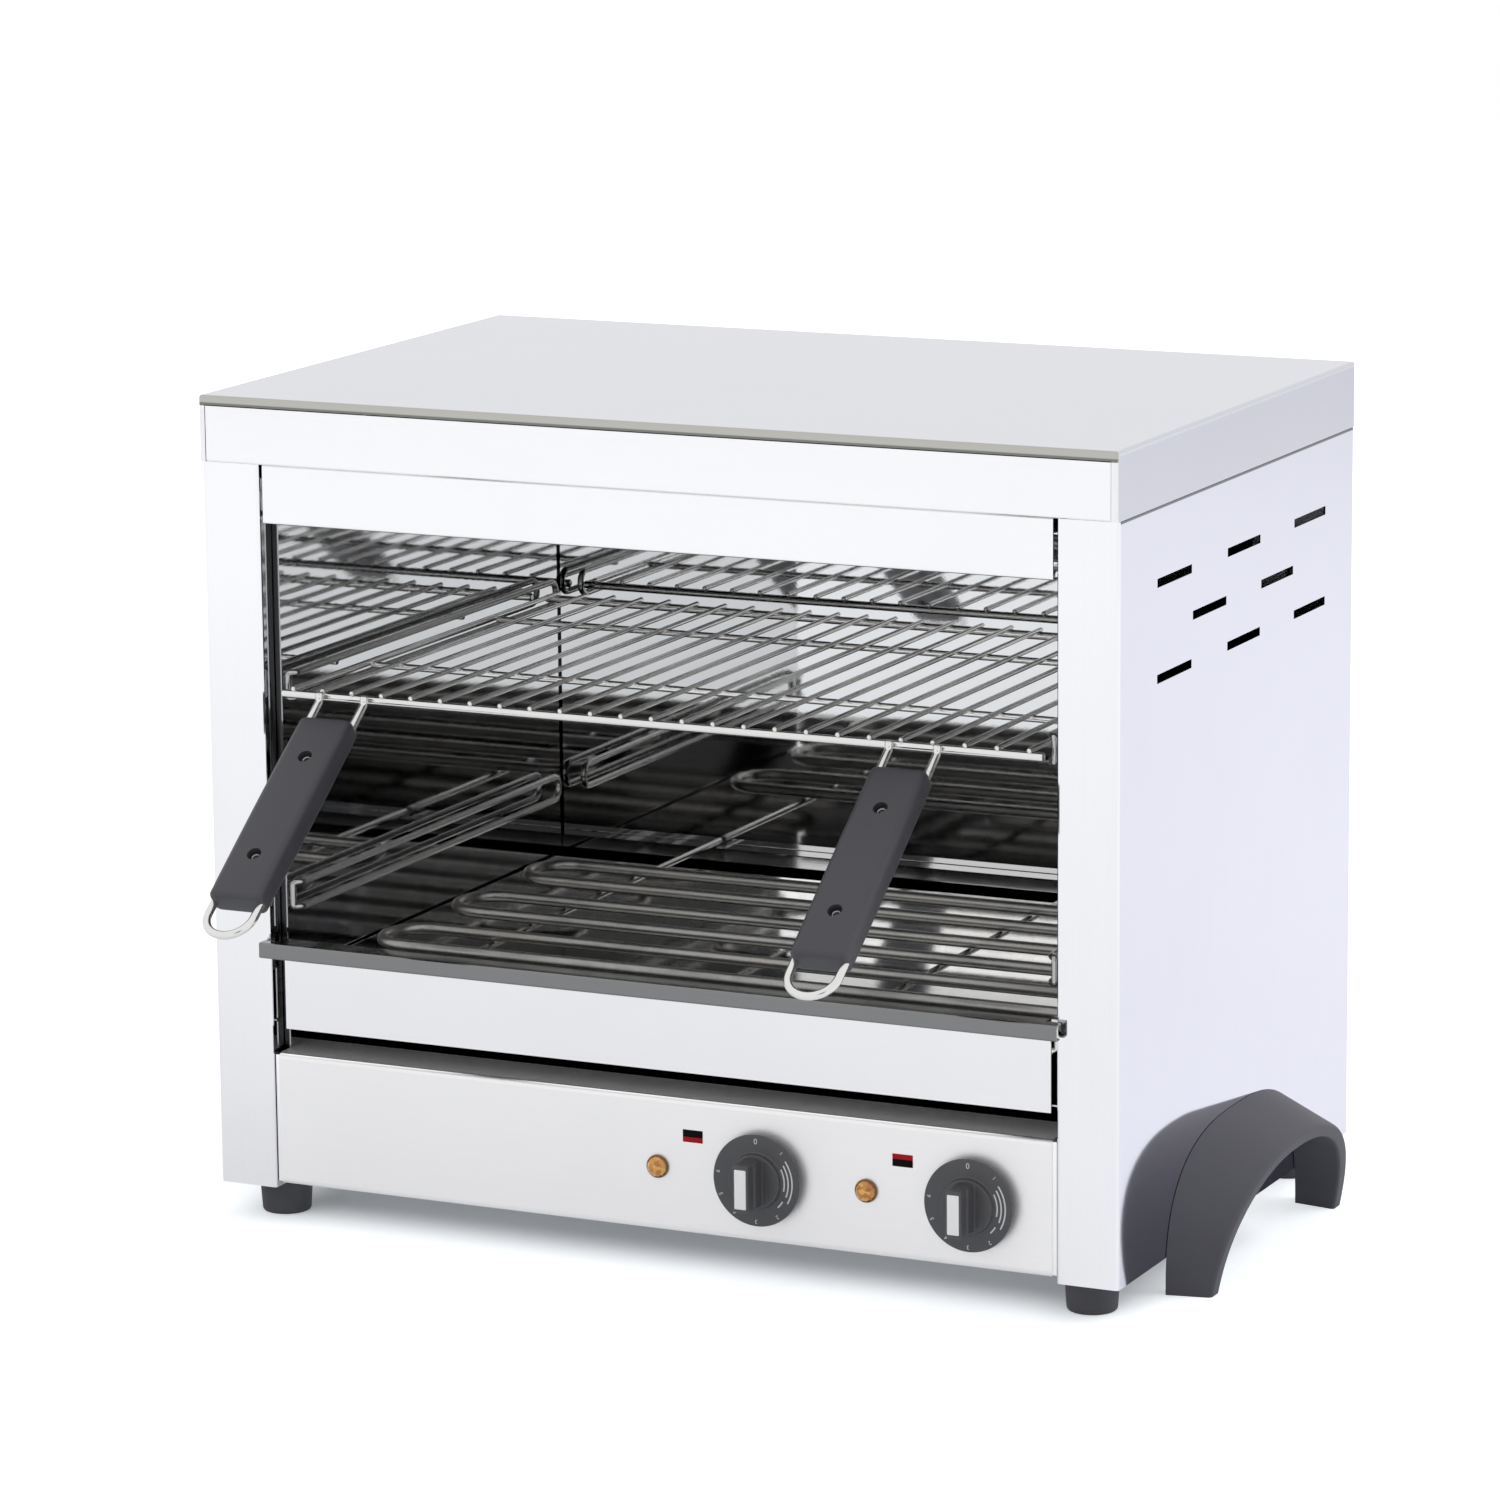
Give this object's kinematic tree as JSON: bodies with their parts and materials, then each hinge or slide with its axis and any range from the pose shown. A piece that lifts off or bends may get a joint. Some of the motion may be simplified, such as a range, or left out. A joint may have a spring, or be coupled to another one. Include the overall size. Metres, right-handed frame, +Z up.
{
  "type": "salamander grill",
  "caption": "Countertop stainless-steel salamander grill with an open cavity, sliding wire rack with two dark handles, crumb tray, two dials and arched side grips",
  "frame": {"origin": "the middle of the bounding box on the table plane, under the cabinet; the table is at Z 0", "axes": "+X to the right along the front as the user sees it, -Y towards the user, +Z up"},
  "size_m": [0.6436, 0.5234, 0.485],
  "materials": {
    "lid_sheet_steel": "satin to polished stainless sheet",
    "lid_fascia_steel": "satin to polished stainless sheet",
    "side_left_steel": "satin to polished stainless sheet",
    "side_right_steel": "satin to polished stainless sheet",
    "back_panel_steel": "satin to polished stainless sheet",
    "valance_steel": "satin to polished stainless sheet",
    "control_panel_steel": "satin to polished stainless sheet",
    "tray_front_steel": "satin to polished stainless sheet",
    "base_pan_galvanised": "dull galvanised sheet",
    "partition_galvanised": "dull galvanised sheet",
    "tray_pan_galvanised": "dull galvanised sheet",
    "liner_left_mirror": "mirror-polished stainless sheet",
    "liner_right_mirror": "mirror-polished stainless sheet",
    "liner_back_mirror": "mirror-polished stainless sheet",
    "ceiling_reflector_mirror": "mirror-polished stainless sheet",
    "tray_lip_mirror": "mirror-polished stainless sheet",
    "lower_front_rail_mirror": "mirror-polished stainless sheet",
    "lower_rear_rail_mirror": "mirror-polished stainless sheet",
    "upper_front_rail_mirror": "mirror-polished stainless sheet",
    "upper_rear_rail_mirror": "mirror-polished stainless sheet",
    "lower_rod_1_rod": "oxidised heating rod sheath",
    "lower_rod_2_rod": "oxidised heating rod sheath",
    "lower_rod_3_rod": "oxidised heating rod sheath",
    "upper_rod_1_rod": "oxidised heating rod sheath",
    "upper_rod_2_rod": "oxidised heating rod sheath",
    "upper_rod_3_rod": "oxidised heating rod sheath",
    "lower_support_left_wire": "chromed wire",
    "lower_support_right_wire": "chromed wire",
    "upper_support_left_wire": "chromed wire",
    "upper_support_right_wire": "chromed wire",
    "guide_left_upper_wire": "chromed wire",
    "guide_left_lower_wire": "chromed wire",
    "guide_right_upper_wire": "chromed wire",
    "guide_right_lower_wire": "chromed wire",
    "rack_grid_wire": "chromed wire",
    "handle_wire_left_wire": "chromed wire",
    "handle_wire_right_wire": "chromed wire",
    "handle_grip_left_grip": "dark grey moulded heat-resistant plastic",
    "handle_grip_right_grip": "dark grey moulded heat-resistant plastic",
    "side_grip_left_grip": "dark grey moulded heat-resistant plastic",
    "side_grip_right_grip": "dark grey moulded heat-resistant plastic",
    "dial_left_dial": "dark grey moulded plastic",
    "dial_insert_left_white": "white insert",
    "dial_shaft_left_zinc": "plain machined metal",
    "regulator_left_ceramic": "cream ceramic or heat-proof moulding",
    "pilot_lamp_left_amber": "translucent amber lens",
    "dial_right_dial": "dark grey moulded plastic",
    "dial_insert_right_white": "white insert",
    "dial_shaft_right_zinc": "plain machined metal",
    "regulator_right_ceramic": "cream ceramic or heat-proof moulding",
    "pilot_lamp_right_amber": "translucent amber lens",
    "foot_front_left_rubber": "dark rubber",
    "foot_front_right_rubber": "dark rubber",
    "foot_rear_left_rubber": "dark rubber",
    "foot_rear_right_rubber": "dark rubber",
    "cable_gland_black": "black moulded plastic",
    "terminal_block_ceramic": "cream ceramic or heat-proof moulding"
  },
  "bodies": {
    "cabinet": {"lid_sheet": "lid_sheet_steel", "lid_fascia": "lid_fascia_steel", "side_left": "side_left_steel", "side_right": "side_right_steel", "back_panel": "back_panel_steel", "valance": "valance_steel", "control_panel": "control_panel_steel", "base_pan": "base_pan_galvanised", "partition": "partition_galvanised", "liner_left": "liner_left_mirror", "liner_right": "liner_right_mirror", "liner_back": "liner_back_mirror", "ceiling_reflector": "ceiling_reflector_mirror", "lower_front_rail": "lower_front_rail_mirror", "lower_rear_rail": "lower_rear_rail_mirror", "upper_front_rail": "upper_front_rail_mirror", "upper_rear_rail": "upper_rear_rail_mirror", "lower_rod_1": "lower_rod_1_rod", "lower_rod_2": "lower_rod_2_rod", "lower_rod_3": "lower_rod_3_rod", "upper_rod_1": "upper_rod_1_rod", "upper_rod_2": "upper_rod_2_rod", "upper_rod_3": "upper_rod_3_rod", "lower_support_left": "lower_support_left_wire", "lower_support_right": "lower_support_right_wire", "upper_support_left": "upper_support_left_wire", "upper_support_right": "upper_support_right_wire", "guide_left_upper": "guide_left_upper_wire", "guide_left_lower": "guide_left_lower_wire", "guide_right_upper": "guide_right_upper_wire", "guide_right_lower": "guide_right_lower_wire", "side_grip_left": "side_grip_left_grip", "side_grip_right": "side_grip_right_grip", "regulator_left": "regulator_left_ceramic", "pilot_lamp_left": "pilot_lamp_left_amber", "regulator_right": "regulator_right_ceramic", "pilot_lamp_right": "pilot_lamp_right_amber", "foot_front_left": "foot_front_left_rubber", "foot_front_right": "foot_front_right_rubber", "foot_rear_left": "foot_rear_left_rubber", "foot_rear_right": "foot_rear_right_rubber", "cable_gland": "cable_gland_black", "terminal_block": "terminal_block_ceramic"},
    "rack": {"rack_grid": "rack_grid_wire", "handle_wire_left": "handle_wire_left_wire", "handle_wire_right": "handle_wire_right_wire", "handle_grip_left": "handle_grip_left_grip", "handle_grip_right": "handle_grip_right_grip"},
    "crumb_tray": {"tray_front": "tray_front_steel", "tray_pan": "tray_pan_galvanised", "tray_lip": "tray_lip_mirror"},
    "knob_left": {"dial_left": "dial_left_dial", "dial_insert_left": "dial_insert_left_white", "dial_shaft_left": "dial_shaft_left_zinc"},
    "knob_right": {"dial_right": "dial_right_dial", "dial_insert_right": "dial_insert_right_white", "dial_shaft_right": "dial_shaft_right_zinc"}
  },
  "joints": [
    {"name": "rack_slide", "type": "slide", "parent": "cabinet", "child": "rack", "axis": [0, -1, 0], "range_m": [0, 0.24]},
    {"name": "tray_slide", "type": "slide", "parent": "cabinet", "child": "crumb_tray", "axis": [0, -1, 0], "range_m": [0, 0.28]},
    {"name": "knob_left_turn", "type": "hinge", "parent": "cabinet", "child": "knob_left", "pos_m": [0.066, -0.11616, 0.0609], "axis": [0, 1, 0], "range_deg": [0, 300]},
    {"name": "knob_right_turn", "type": "hinge", "parent": "cabinet", "child": "knob_right", "pos_m": [0.195, -0.11616, 0.0609], "axis": [0, 1, 0], "range_deg": [0, 300]}
  ]
}
